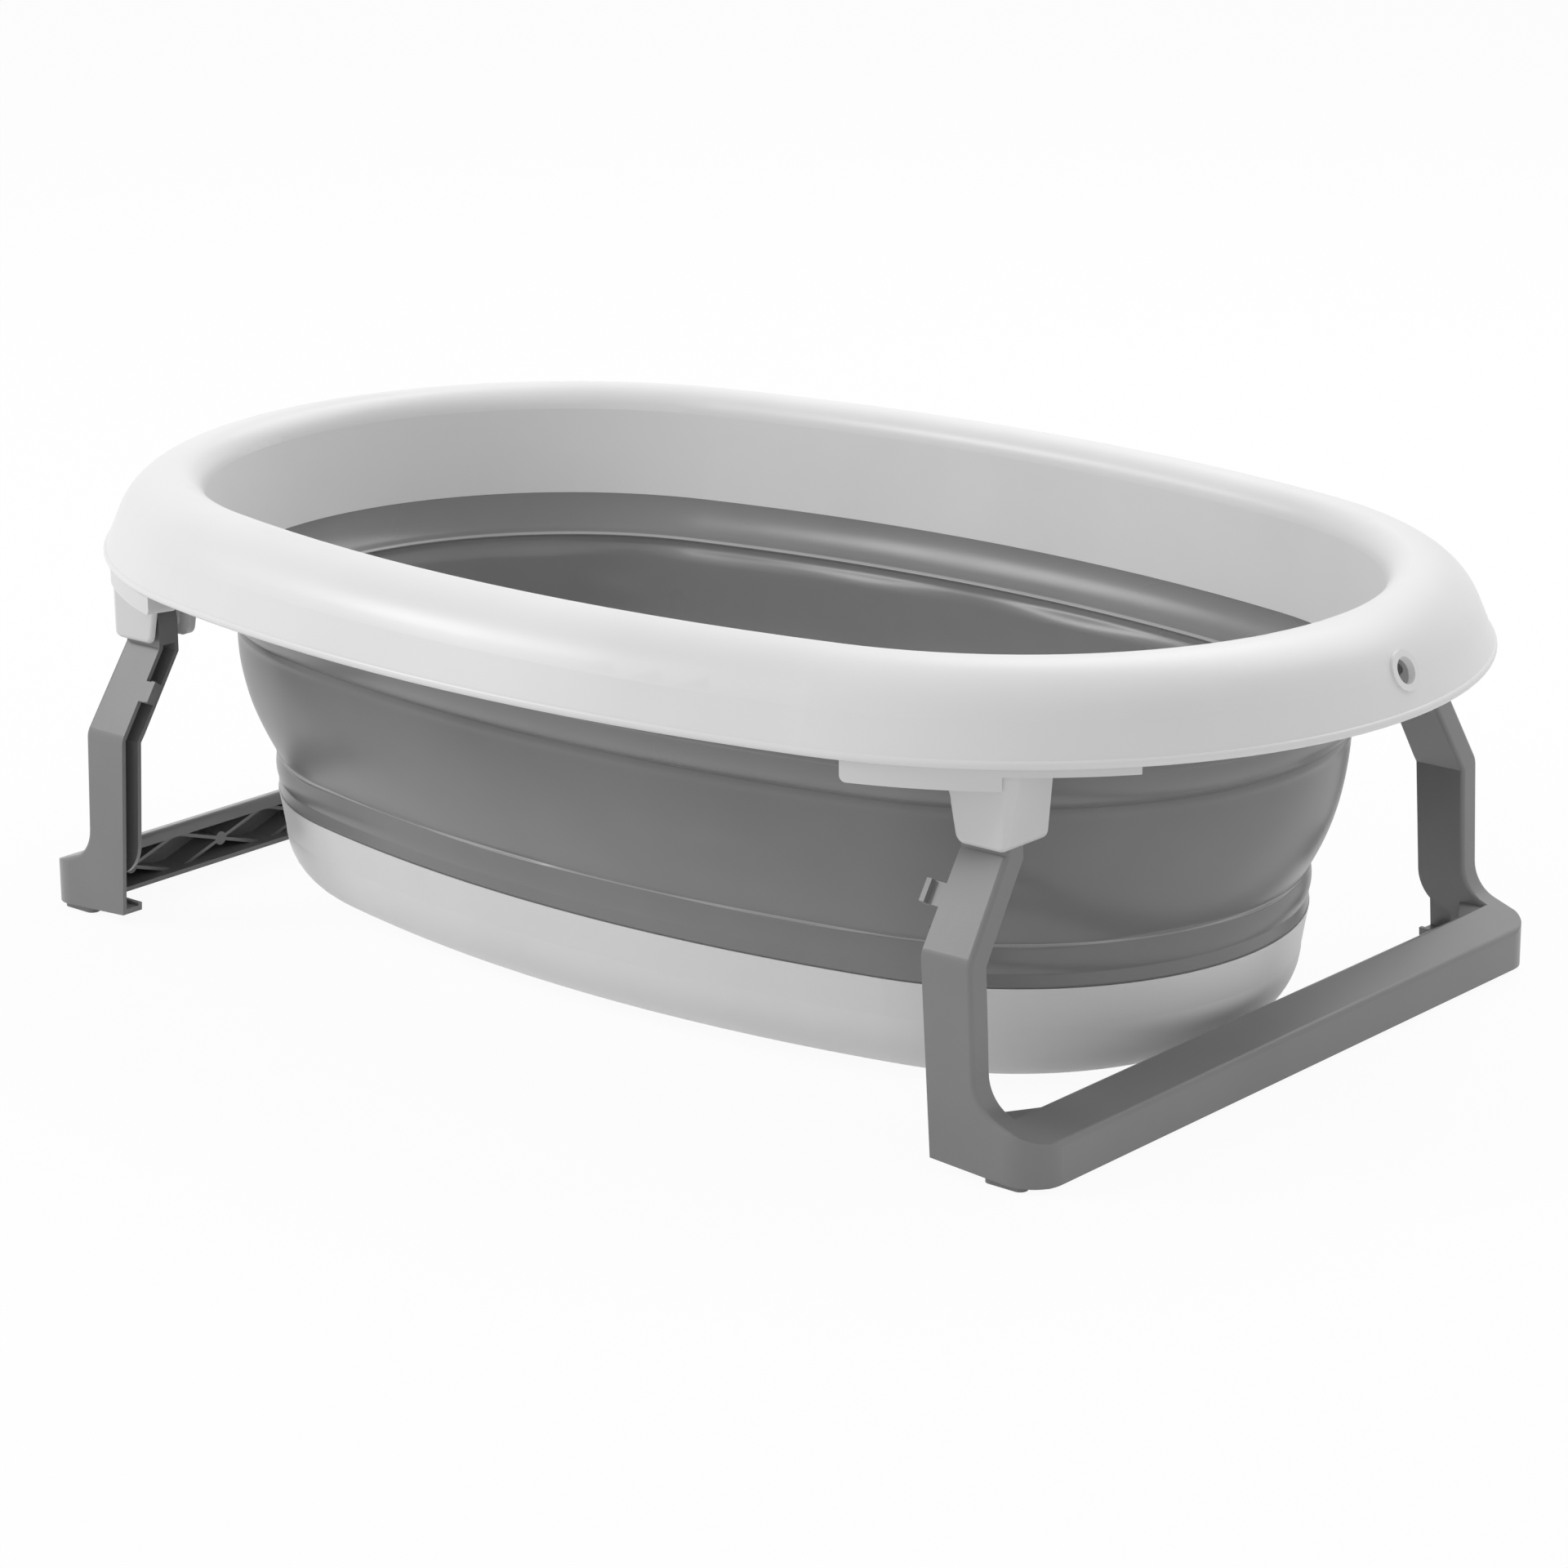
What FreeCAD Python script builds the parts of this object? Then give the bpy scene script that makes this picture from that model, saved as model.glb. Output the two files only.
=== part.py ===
import FreeCAD, Part
import math
import os

V = FreeCAD.Vector
Z_AXIS = V(0, 0, 1)

# Rim: an oval of four tangent arcs, moulded as one thin shell
rim_length = 828.0
rim_width = 536.0
side_radius = 970.0
lip_height = 200.0
crest_rise = 44.5
crest_inset = 43.0
crest_outer_radius = 37.0
crest_inner_radius = 14.5
rim_wall = 3.0
bead_depth = 1.6
bead_height = 4.5
wall_inset = 62.0
wall_drop = 19.0

# Hanging hole in the right end of the skirt
hang_radius = 7.0
hang_collar_radius = 10.5
hang_collar_proud = 1.0
hang_height = 22.0

# Soft wall: bonded to the rim above and to the base below
soft_wall = 2.5
rim_lap_height = 26.0
base_lap_height = 8.0
bond_gap = 0.15
ridge_inset = 75.0
ridge_drop = 41.0
panel_bulge = 5.5
crease_inset = 95.5
crease_height = 82.0
band_bulge = 1.5
joint_inset = 95.0
joint_height = 67.0
slide_gap = 0.3

# Base tray
base_wall = 3.0
base_clearance = 2.0
base_edge_radius = 36.0
base_draft = 0.5

# Drain in the base tray
drain_radius = 16.0
drain_reach = 170.0
drain_gap = 0.3
plug_flange_radius = 22.0
plug_flange_height = 4.0
plug_stem_length = 6.0
plug_grip_width = 24.0
plug_grip_height = 9.0
plug_grip_wall = 3.0
washer_height = 1.6
washer_radius = 20.0

# Hinges: one axis along Y at each end of the tub
hinge_inset = 118.5
hinge_drop = 32.0
pin_radius = 3.0
pin_seat_gap = 0.03
pin_run_gap = 0.06
pin_skin = 2.0

# Hinge brackets under the rim
rail_inset = 2.5
rail_width = 16.0
rail_height = 11.0
rail_tail_height = 4.0
rail_front_reach = 59.0
rail_tail_reach = 88.0
rail_corner = 3.5
housing_setback = 15.0
housing_inset = 4.2
housing_front_wall = 2.2
housing_back_wall = 5.0
spacer_length = 7.0
spacer_radius = 8.0
housing_stop_wall = 7.0
housing_throat = 17.5
housing_drop = 10.5
housing_draft = 4.0
housing_corner = 6.0
housing_edge = 3.0
housing_root = 12.0
seat_gap = 0.1

# Bracket screws and their bosses under the skirt
screw_inset = 13.0
screw_radius = 1.9
screw_gap = 0.05
screw_head_radius = 3.8
screw_head_height = 2.4
screw_length = 16.0
screw_clear_radius = 2.3
screw_front_reach = 46.0
screw_tail_reach = 72.0
counterbore_radius = 4.8
boss_radius = 4.5
boss_height = 18.0

# Leg frames: two arms and a foot bar, moulded as one open channel
arm_depth = 28.0
arm_thick = 14.0
arm_lean = 6.0
tongue_gap = 0.5
flare_gap = 3.3
stop_gap = 0.4
crease_drop = 13.0
slant_drop = 46.5
leg_flare = 30.5
leg_wall = 2.6
eye_solid = 12.0
elbow_radius = 10.0
flange_low = 24.0
flange_corner = 22.0
arm_edge_radius = 2.5
foot_edge_radius = 3.5
foot_reach = 56.5
toe_height = 24.0
toe_fillet = 20.0
foot_corner = 20.0
foot_rise = 4.0
foot_floor = 4.5
bar_depth = 25.0
bar_lift = 2.0
bar_inner_height = 33.0
bar_lip = 8.0
gusset_depth = 16.0
gusset_length = 24.0
rib_cells = 6
rib_wall = 2.0
rib_setback = 7.0
rib_boss_radius = 4.0
hook_reach = 10.0
hook_width = 12.0
hook_tip = 3.0
hook_tip_wall = 3.0
hook_drop = 19.5

# Foot pads let into the toes
pad_length = 24.0
pad_width = 8.0
pad_proud = 2.0
pad_height = 4.4
pad_gap = 0.1
pad_setback = 23.0

half_length = rim_length / 2
half_width = rim_width / 2
end_radius = half_length ** 2 + half_width ** 2 - 2 * side_radius * half_width
end_radius = end_radius / (2 * (half_length - side_radius))
end_centre = half_length - end_radius
side_centre = side_radius - half_width
join_angle = math.degrees(math.atan2(side_centre, end_centre))

crest_height = lip_height + crest_rise
wall_height = lip_height - wall_drop
ridge_height = lip_height - ridge_drop
hinge_height = lip_height - hinge_drop


def arcs():
    """Centre, radius, start angle and sweep of the oval's four arcs."""
    side_sweep = 180 - 2 * join_angle
    return [
        (V(end_centre, 0, 0), end_radius, -join_angle, 2 * join_angle),
        (V(0, -side_centre, 0), side_radius, join_angle, side_sweep),
        (V(-end_centre, 0, 0), end_radius, 180 - join_angle, 2 * join_angle),
        (V(0, side_centre, 0), side_radius, 180 + join_angle, side_sweep),
    ]


def section_face(path, radius):
    """Face of a closed (inset, height) path standing at the given radius."""
    edges = []
    for step in path:
        points = [V(radius - inset, 0, height) for inset, height in step]
        if len(points) == 2:
            edges.append(Part.LineSegment(*points).toShape())
        else:
            edges.append(Part.Arc(*points).toShape())
    return Part.Face(Part.Wire(edges))


def swept(path, centre, radius, start, sweep):
    """Section carried round one arc of the oval."""
    face = section_face(path, radius)
    face.rotate(V(0, 0, 0), Z_AXIS, start)
    face.translate(centre)
    return face.revolve(centre, Z_AXIS, sweep)


def ring(path):
    """Section carried round the whole oval."""
    pieces = [swept(path, *arc) for arc in arcs()]
    return pieces[0].fuse(pieces[1:]).removeSplitter()


def oval_prism(inset, bottom, height):
    """Upright block with the rim's outline, drawn in by an inset."""
    edges = []
    for centre, radius, start, sweep in arcs():
        points = []
        for share in (0, 0.5, 1):
            angle = math.radians(start + share * sweep)
            reach = radius - inset
            points.append(centre + V(reach * math.cos(angle), reach * math.sin(angle), bottom))
        edges.append(Part.Arc(*points).toShape())
    return Part.Face(Part.Wire(edges)).extrude(V(0, 0, height))


def polyline(points):
    """Path steps of a closed polygon."""
    return [(points[i], points[(i + 1) % len(points)]) for i in range(len(points))]


def bulged(start, end, bulge):
    """Arc step from start to end that swells towards the outside by bulge."""
    dx = end[0] - start[0]
    dz = end[1] - start[1]
    length = math.hypot(dx, dz)
    middle = ((start[0] + end[0]) / 2 + bulge * dz / length, (start[1] + end[1]) / 2 - bulge * dx / length)
    return (start, middle, end)


def shifted(step, distance):
    """Path step moved towards the outside of the tub and run backwards."""
    return tuple((inset - distance, height) for inset, height in reversed(step))


def prism_x(points, start, length):
    """Polygon in the YZ plane carried along X."""
    corners = [V(start, y, z) for y, z in points]
    return Part.Face(Part.makePolygon(corners + corners[:1])).extrude(V(length, 0, 0))


def tangent_angle(centre, radius, point, turn):
    """Direction from a circle's centre to where a line from point touches it."""
    dx = point[0] - centre[0]
    dz = point[1] - centre[1]
    return math.atan2(dz, dx) + turn * math.acos(radius / math.hypot(dx, dz))


def at_angle(centre, radius, angle):
    return (centre[0] + radius * math.cos(angle), centre[1] + radius * math.sin(angle))


# Rim section, named from the lip over the crest to the foot of the inner wall
outer_centre = (crest_inset, crest_height - crest_outer_radius)
inner_centre = (crest_inset, crest_height - crest_inner_radius)
skirt_foot = (bead_depth, lip_height + bead_height)
wall_foot = (wall_inset, wall_height)
skirt_angle = tangent_angle(outer_centre, crest_outer_radius, skirt_foot, -1) % (2 * math.pi)
wall_angle = tangent_angle(inner_centre, crest_inner_radius, wall_foot, 1)
top_angle = math.pi / 2
skirt_normal = (math.cos(skirt_angle), math.sin(skirt_angle))
wall_normal = (math.cos(wall_angle), math.sin(wall_angle))


def wall_at(height, depth):
    """Point of the inner wall at a height, sunk into the wall by depth."""
    slope = -wall_normal[1] / wall_normal[0]
    inset = wall_foot[0] + slope * (height - wall_foot[1]) - depth / wall_normal[0]
    return (inset, height)


def skirt_at(height, depth):
    """Point of the skirt at a height, sunk into the skirt by depth."""
    slope = -skirt_normal[1] / skirt_normal[0]
    inset = skirt_foot[0] + slope * (height - skirt_foot[1]) - depth / skirt_normal[0]
    return (inset, height)


def crest_arc(centre, radius, first, last):
    return tuple(at_angle(centre, radius, first + share * (last - first)) for share in (0, 0.5, 1))


lap_top = wall_height + rim_lap_height
half_wall = rim_wall / 2
outer_crest = crest_arc(outer_centre, crest_outer_radius, skirt_angle, top_angle)
inner_crest = crest_arc(inner_centre, crest_inner_radius, top_angle, wall_angle)
under_inner = crest_arc(inner_centre, crest_inner_radius - rim_wall, wall_angle, top_angle)
under_outer = crest_arc(outer_centre, crest_outer_radius - rim_wall, top_angle, skirt_angle)
lip_inner = skirt_at(lip_height, rim_wall)
bead_low = (bead_depth, lip_height)
bead_mid = (0, lip_height + bead_height / 2)
rim_path = [
    (lip_inner, bead_low),
    (bead_low, bead_mid, skirt_foot),
    (skirt_foot, outer_crest[0]),
    outer_crest,
    inner_crest,
    (inner_crest[2], wall_foot),
    (wall_foot, wall_at(wall_height, half_wall)),
    (wall_at(wall_height, half_wall), wall_at(lap_top, half_wall)),
    (wall_at(lap_top, half_wall), wall_at(lap_top, rim_wall)),
    (wall_at(lap_top, rim_wall), under_inner[0]),
    under_inner,
    under_outer,
    (under_outer[2], lip_inner),
]

# Hinge place on the oval
hinge_x = half_length - hinge_inset
hinge_span = hinge_x - end_centre
lip_y = -math.sqrt(end_radius ** 2 - hinge_span ** 2)
hinge_angle = math.degrees(math.atan2(lip_y, hinge_span))
housing_front = lip_y + housing_setback
tongue_front = housing_front + housing_front_wall + flare_gap
tongue_back = tongue_front + arm_thick
spacer_face = tongue_back + tongue_gap
housing_back = spacer_face + spacer_length + housing_back_wall
foot_front = tongue_front - leg_flare


def rail_angle(reach):
    """Angle on the end arc at a distance along the lip from the hinge."""
    return hinge_angle + math.degrees(reach / end_radius)


def screw_places():
    """Screw points of the front right bracket."""
    reach = end_radius - screw_inset
    places = []
    for along in (-screw_front_reach, screw_tail_reach):
        angle = math.radians(rail_angle(along))
        places.append(V(end_centre + reach * math.cos(angle), reach * math.sin(angle), 0))
    return places


def make_rim():
    shell = ring(rim_path)
    pilots = []
    bosses = []
    for place in screw_places():
        for sx in (1, -1):
            for sy in (1, -1):
                foot = V(sx * place.x, sy * place.y, lip_height)
                bosses.append(Part.makeCylinder(boss_radius, boss_height, foot))
                pilot_depth = screw_length - rail_tail_height + seat_gap
                pilots.append(Part.makeCylinder(screw_radius + screw_gap, pilot_depth + 1, foot - V(0, 0, 1)))
    place = skirt_at(lip_height + hang_height, 0)
    outward = V(-skirt_normal[0], 0, skirt_normal[1])
    centre = V(half_length - place[0], 0, place[1])
    back = centre - outward * (rim_wall - hang_collar_proud)
    collar = Part.makeCylinder(hang_collar_radius, rim_wall, back, outward)
    hole = Part.makeCylinder(hang_radius, 6 * rim_wall, centre - outward * 3 * rim_wall, outward)
    return shell.fuse(bosses + [collar]).cut(pilots + [hole]).removeSplitter()


def make_soft_wall():
    ridge = (ridge_inset, ridge_height)
    crease = (crease_inset, crease_height)
    joint = (joint_inset, joint_height)
    top = wall_at(wall_height - bond_gap, 0)
    panel = bulged(ridge, crease, panel_bulge)
    band = bulged(crease, joint, band_bulge)
    lap_face = wall_at(wall_height - bond_gap, half_wall + bond_gap)
    lap_tip = wall_at(lap_top - bond_gap, half_wall + bond_gap)
    lap_outer = wall_at(lap_top - bond_gap, rim_wall)
    top_outer = (top[0] - soft_wall, top[1] - soft_wall)
    foot_inner = joint_inset - base_wall / 2
    foot_low = joint_height - base_lap_height + slide_gap
    foot_side = foot_inner - slide_gap
    band_out = shifted(band, soft_wall)
    panel_out = shifted(panel, soft_wall)
    path = [
        (top, ridge),
        panel,
        band,
        (joint, (foot_side, joint_height)),
        ((foot_side, joint_height), (foot_side, foot_low)),
        ((foot_side, foot_low), (joint_inset - soft_wall, foot_low)),
        ((joint_inset - soft_wall, foot_low), band_out[0]),
        band_out,
        panel_out,
        (panel_out[2], top_outer),
        (top_outer, lap_outer),
        (lap_outer, lap_tip),
        (lap_tip, lap_face),
        (lap_face, top),
    ]
    return ring(path)


def make_base():
    rim_top = joint_height - slide_gap
    lap_low = joint_height - base_lap_height
    lap_inset = joint_inset - base_wall / 2
    bottom_inset = joint_inset + base_draft
    edge_top = base_clearance + base_edge_radius
    edge_centre = (bottom_inset + base_edge_radius, edge_top)
    outer_edge = crest_arc(edge_centre, base_edge_radius, math.pi, 1.5 * math.pi)
    inner_edge = crest_arc(edge_centre, base_edge_radius - base_wall, 1.5 * math.pi, math.pi)
    lap_shelf = joint_inset - base_wall
    flat_inset = edge_centre[0]
    path = [
        ((lap_inset, rim_top), (lap_inset, lap_low)),
        ((lap_inset, lap_low), (lap_shelf, lap_low)),
        ((lap_shelf, lap_low), outer_edge[0]),
        outer_edge,
        (outer_edge[2], inner_edge[0]),
        inner_edge,
        (inner_edge[2], (joint_inset, rim_top)),
        ((joint_inset, rim_top), (lap_inset, rim_top)),
    ]
    floor = oval_prism(flat_inset, base_clearance, base_wall)
    tray = ring(path).fuse(floor)
    bore = Part.makeCylinder(drain_radius, 3 * base_wall, V(drain_reach, 0, base_clearance - base_wall))
    return tray.cut(bore).removeSplitter()


def make_plug():
    floor_top = base_clearance + base_wall
    seat = floor_top + drain_gap + washer_height
    stem_radius = drain_radius - drain_gap
    centre = V(drain_reach, 0, seat)
    flange = Part.makeCylinder(plug_flange_radius, plug_flange_height, centre)
    stem = Part.makeCylinder(stem_radius, plug_stem_length, centre - V(0, 0, plug_stem_length))
    grip_size = (plug_grip_width, plug_grip_wall, plug_grip_height)
    corner = centre + V(-plug_grip_width / 2, -plug_grip_wall / 2, plug_flange_height)
    grip = Part.makeBox(*grip_size, corner)
    upright = [e for e in grip.Edges if abs(e.Vertexes[0].Z - e.Vertexes[1].Z) < 1e-6
               and abs(e.Vertexes[0].X - e.Vertexes[1].X) < 1e-6
               and e.Vertexes[0].Z > corner.z + plug_grip_height / 2]
    grip = grip.makeFillet(plug_grip_height * 0.6, upright)
    return flange.fuse([stem, grip]).removeSplitter()


def make_washer():
    floor_top = base_clearance + base_wall
    centre = V(drain_reach, 0, floor_top + drain_gap)
    outer = Part.makeCylinder(washer_radius, washer_height - bond_gap, centre)
    return outer.cut(Part.makeCylinder(drain_radius, washer_height, centre))


def make_bracket():
    """Front right bracket: a rail under the lip with a hinge housing below it."""
    top = lip_height - seat_gap
    inner = rail_inset + rail_width
    tail_low = lip_height - rail_tail_height
    rail_low = lip_height - rail_height
    centre = V(end_centre, 0, 0)

    def rail(low, first, last):
        path = polyline([(rail_inset, low), (inner, low), (inner, top), (rail_inset, top)])
        return swept(path, centre, end_radius, first, last - first)

    front_end = rail_angle(-rail_front_reach)
    housing_turn = math.degrees(math.asin(housing_front / (end_radius - housing_inset)))
    front_rail = rail(rail_low, front_end, housing_turn)
    corners = []
    for edge in front_rail.Edges:
        middle = edge.CenterOfMass
        angle = math.degrees(math.atan2(middle.y, middle.x - end_centre))
        if abs(angle - front_end) < 0.1 and abs(middle.z - rail_low) < 0.01:
            corners.append(edge)
    front_rail = front_rail.makeFillet(rail_corner, corners)
    tail_rail = rail(tail_low, rail_angle(0), rail_angle(rail_tail_reach))
    left = hinge_x - housing_throat
    stop = hinge_x + arm_depth / 2 + stop_gap
    right = stop + housing_stop_wall
    low = hinge_height - housing_drop
    height = top - low
    root_low = V(left, housing_front, rail_low - housing_root)
    root_high = V(left - housing_root, housing_front, rail_low)
    turn = housing_root * math.sqrt(0.5)
    root_bend = V(root_high.x + turn, housing_front, root_low.z + turn)
    sides = [
        root_high,
        V(root_high.x, housing_front, top),
        V(right, housing_front, top),
        V(right - housing_draft, housing_front, low),
        V(left + housing_draft, housing_front, low),
        root_low,
    ]
    outline = [Part.LineSegment(sides[i], sides[i + 1]).toShape() for i in range(len(sides) - 1)]
    outline.append(Part.Arc(root_low, root_bend, root_high).toShape())
    block = Part.Face(Part.Wire(outline)).extrude(V(0, housing_back - housing_front, 0))
    bottom = []
    for edge in block.Edges:
        along_y = abs(edge.Vertexes[0].Y - edge.Vertexes[1].Y) > 1
        if along_y and abs(edge.CenterOfMass.z - low) < 0.01:
            bottom.append(edge)
    block = block.makeFillet(housing_corner, bottom)
    face = []
    for edge in block.Edges:
        on_front = all(abs(v.Y - housing_front) < 0.01 for v in edge.Vertexes)
        if on_front and edge.CenterOfMass.z < rail_low:
            face.append(edge)
    block = block.makeFillet(housing_edge, face)
    ahead = Part.makeBox(rim_length, half_width, height, V(-half_length, housing_front - half_width, low))
    footprint = oval_prism(housing_inset, low, height).cut(ahead)
    border = []
    for edge in footprint.Edges:
        ends = [v.Point for v in edge.Vertexes]
        upright = abs(ends[0].z - ends[-1].z) > 1
        on_front = all(abs(point.y - housing_front) < 0.01 for point in ends)
        if upright and on_front or all(abs(point.z - low) < 0.01 for point in ends):
            border.append(edge)
    block = block.common(footprint.makeFillet(housing_edge, border))
    body = block.fuse([front_rail, tail_rail])
    slot_low = low - housing_corner
    slot_top = hinge_height + arm_depth / 2 + tongue_gap
    slot_width = flare_gap + arm_thick + tongue_gap + spacer_length
    slot_front = tongue_front - flare_gap
    slot = Part.makeBox(stop - left + arm_depth, slot_width, slot_top - slot_low,
                        V(left - arm_depth, slot_front, slot_low))

    def boss(start, length):
        return Part.makeCylinder(spacer_radius, length, V(hinge_x, start, hinge_height), V(0, 1, 0))

    front_boss = boss(slot_front - 1, flare_gap - tongue_gap + 1)
    body = body.cut(slot).fuse([front_boss, boss(spacer_face, spacer_length + 1)])
    bore = Part.makeCylinder(pin_radius + pin_seat_gap, housing_back - housing_front,
                             V(hinge_x, housing_front + pin_skin, hinge_height), V(0, 1, 0))
    cuts = [bore]
    for place in screw_places():
        foot = V(place.x, place.y, low)
        cuts.append(Part.makeCylinder(screw_clear_radius, height + 1, foot))
        cuts.append(Part.makeCylinder(counterbore_radius, tail_low - low, foot))
    return body.cut(cuts).removeSplitter()


def make_pin():
    start = housing_front + pin_skin + pin_seat_gap
    return Part.makeCylinder(pin_radius, housing_back - start, V(hinge_x, start, hinge_height), V(0, 1, 0))


def make_screw(place):
    seat = V(place.x, place.y, lip_height - rail_tail_height)
    head = Part.makeCylinder(screw_head_radius, screw_head_height, seat - V(0, 0, screw_head_height))
    rim_edge = [e for e in head.Edges if len(e.Vertexes) == 1 and e.CenterOfMass.z < seat.z - 0.1]
    head = head.makeFillet(screw_head_height * 0.5, rim_edge)
    shank = Part.makeCylinder(screw_radius, screw_length - screw_gap, seat)
    return head.fuse(shank).removeSplitter()


# Leg frame places, right leg
foot_x = hinge_x + foot_reach
arm_inner = hinge_x - arm_depth / 2
arm_outer = hinge_x + arm_depth / 2
crease_z = hinge_height - crease_drop
elbow_z = crease_z - slant_drop
slant = math.atan2(leg_flare, slant_drop)
slant_along = (-math.sin(slant), -math.cos(slant))
slant_inward = (math.cos(slant), -math.sin(slant))
foot_bottom = pad_proud
bar_inner = foot_x - bar_depth
toe_slope = math.atan2(bar_inner_height - toe_height, bar_depth)
lean_top = hinge_height - housing_drop
lean = math.atan2(arm_lean, lean_top)
arm_back = foot_front + arm_thick


def arm_side(depth):
    """Arm outline seen along X at a depth behind its front face, top to bottom."""
    drop = depth * math.tan(slant / 2)
    return [(tongue_front + depth, crease_z - drop), (foot_front + depth, elbow_z - drop)]


def arm_outline(front_depth, back_depth, top, bottom):
    front = arm_side(front_depth)
    back = arm_side(back_depth)
    points = [(front[0][0], top)] + front + [(front[1][0], bottom)]
    points += [(back[1][0], bottom)] + back[::-1] + [(back[0][0], top)]
    return points


def leg_profile(inset, inner, top, inner_bottom, outer_bottom):
    """Leg seen along Y as a face; inset draws in its outer side."""
    arm_normal = V(math.cos(lean), 0, math.sin(lean))
    toe_normal = V(math.sin(toe_slope), 0, math.cos(toe_slope))
    arm_reach = V(arm_outer, 0, lean_top).dot(arm_normal) + toe_fillet
    toe_reach = V(foot_x, 0, toe_height).dot(toe_normal) + toe_fillet
    spread = math.cos(lean + toe_slope)
    fillet = V(
        (arm_reach * math.cos(toe_slope) - toe_reach * math.sin(lean)) / spread,
        0,
        (toe_reach * math.cos(lean) - arm_reach * math.sin(toe_slope)) / spread,
    )
    radius = toe_fillet + inset
    middle = (2.5 * math.pi + lean - toe_slope) / 2
    bend = fillet + V(radius * math.cos(middle), 0, radius * math.sin(middle))
    arm_point = fillet - arm_normal * radius
    toe_point = fillet - toe_normal * radius
    right = foot_x - inset
    right_top = toe_height - inset * (1 - math.sin(toe_slope)) / math.cos(toe_slope)
    corners = [
        toe_point,
        V(right, 0, right_top),
        V(right, 0, outer_bottom),
        V(inner[2], 0, inner_bottom),
        V(inner[1], 0, elbow_z),
        V(inner[0], 0, top),
        V(arm_outer - (top - lean_top) * math.tan(lean) - inset / math.cos(lean), 0, top),
        arm_point,
    ]
    edges = [Part.LineSegment(corners[i], corners[i + 1]).toShape() for i in range(len(corners) - 1)]
    edges.append(Part.Arc(arm_point, bend, toe_point).toShape())
    return Part.Face(Part.Wire(edges))


def edges_along_y(shape, x, z):
    """Edges of a shape that run along Y at the given X and Z."""
    found = []
    for edge in shape.Edges:
        ends = [v.Point for v in edge.Vertexes]
        if all(abs(point.x - x) < 0.01 and abs(point.z - z) < 0.01 for point in ends):
            found.append(edge)
    return found


def make_arm():
    """Front arm of the right leg with its eye, before the channel is cut."""
    inner = (arm_inner, arm_inner, arm_inner + arm_lean)
    face = leg_profile(0, inner, hinge_height, foot_bottom + foot_rise, foot_bottom)
    face.translate(V(0, foot_front - 1, 0))
    side = face.extrude(V(0, tongue_back - foot_front + 2, 0))
    side = side.makeFillet(foot_edge_radius, edges_along_y(side, foot_x, toe_height))
    outline = arm_outline(0, arm_thick, hinge_height, 0)
    front = prism_x(outline, arm_inner - 1, foot_x - arm_inner + 2)
    elbow = []
    for edge in front.Edges:
        if all(abs(v.Y - foot_front) < 0.01 and abs(v.Z - elbow_z) < 0.01 for v in edge.Vertexes):
            elbow.append(edge)
    arm = side.common(front.makeFillet(elbow_radius, elbow))
    outer_edges = []
    for edge in arm.Edges:
        ends = [v.Point for v in edge.Vertexes]
        offsets = [point.x - arm_outer + (point.z - lean_top) * math.tan(lean) for point in ends]
        outside = all(abs(offset) < 0.01 for offset in offsets)
        along = abs(ends[0].z - ends[-1].z) > 1
        if outside and along and edge.CenterOfMass.z > toe_height + toe_fillet:
            outer_edges.append(edge)
    eye = Part.makeCylinder(arm_depth / 2, arm_thick, V(hinge_x, tongue_front, hinge_height), V(0, 1, 0))
    return arm.makeFillet(arm_edge_radius, outer_edges).fuse(eye)


def make_channel():
    """Hollow of the front arm, open towards the tub."""
    open_side = arm_inner - arm_depth
    inner = (open_side, open_side, open_side)
    floor = foot_bottom + foot_floor
    top = hinge_height - eye_solid
    face = leg_profile(leg_wall, inner, top, floor + foot_rise, floor)
    face.translate(V(0, foot_front - 1, 0))
    side = face.extrude(V(0, tongue_back - foot_front + 2, 0))
    outline = arm_outline(leg_wall, arm_thick - leg_wall, top, 0)
    return side.common(prism_x(outline, open_side - 1, foot_x - open_side + 2))


def make_flange_cut():
    """Room below the rounded lower end of the front arm's inner flange."""
    front = arm_back - 1.5 * leg_wall
    floor = foot_bottom + foot_floor + foot_rise
    top = flange_low + flange_corner
    share = (elbow_z - top) / (elbow_z - foot_bottom - foot_rise)
    edge = arm_inner + arm_lean * share
    turn = flange_corner * (1 - math.sqrt(0.5))
    start = V(edge, front, top)
    bend = V(edge + turn, front, flange_low + turn)
    end = V(edge + flange_corner, front, flange_low)
    corners = [end, V(end.x, front, floor), V(arm_inner - 1, front, floor), V(arm_inner - 1, front, top), start]
    edges = [Part.LineSegment(corners[i], corners[i + 1]).toShape() for i in range(len(corners) - 1)]
    edges.append(Part.Arc(start, bend, end).toShape())
    return Part.Face(Part.Wire(edges)).extrude(V(0, 2 * leg_wall, 0))


def make_hook():
    """Snap hook on the inner edge of the slanted part of the front arm."""
    def point(along, inward):
        y = tongue_front + along * slant_along[0] + inward * slant_inward[0]
        z = crease_z + along * slant_along[1] + inward * slant_inward[1]
        return (y, z)

    low = hook_drop + hook_width
    tab = [point(hook_drop, 0), point(low, 0), point(low, leg_wall), point(hook_drop, leg_wall)]
    tip = [point(hook_drop, -hook_tip), point(low, -hook_tip), point(low, leg_wall), point(hook_drop, leg_wall)]
    left = arm_inner - hook_reach
    tab_solid = prism_x(tab, left, hook_reach + leg_wall)
    return tab_solid.fuse(prism_x(tip, left, hook_tip_wall))


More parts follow.
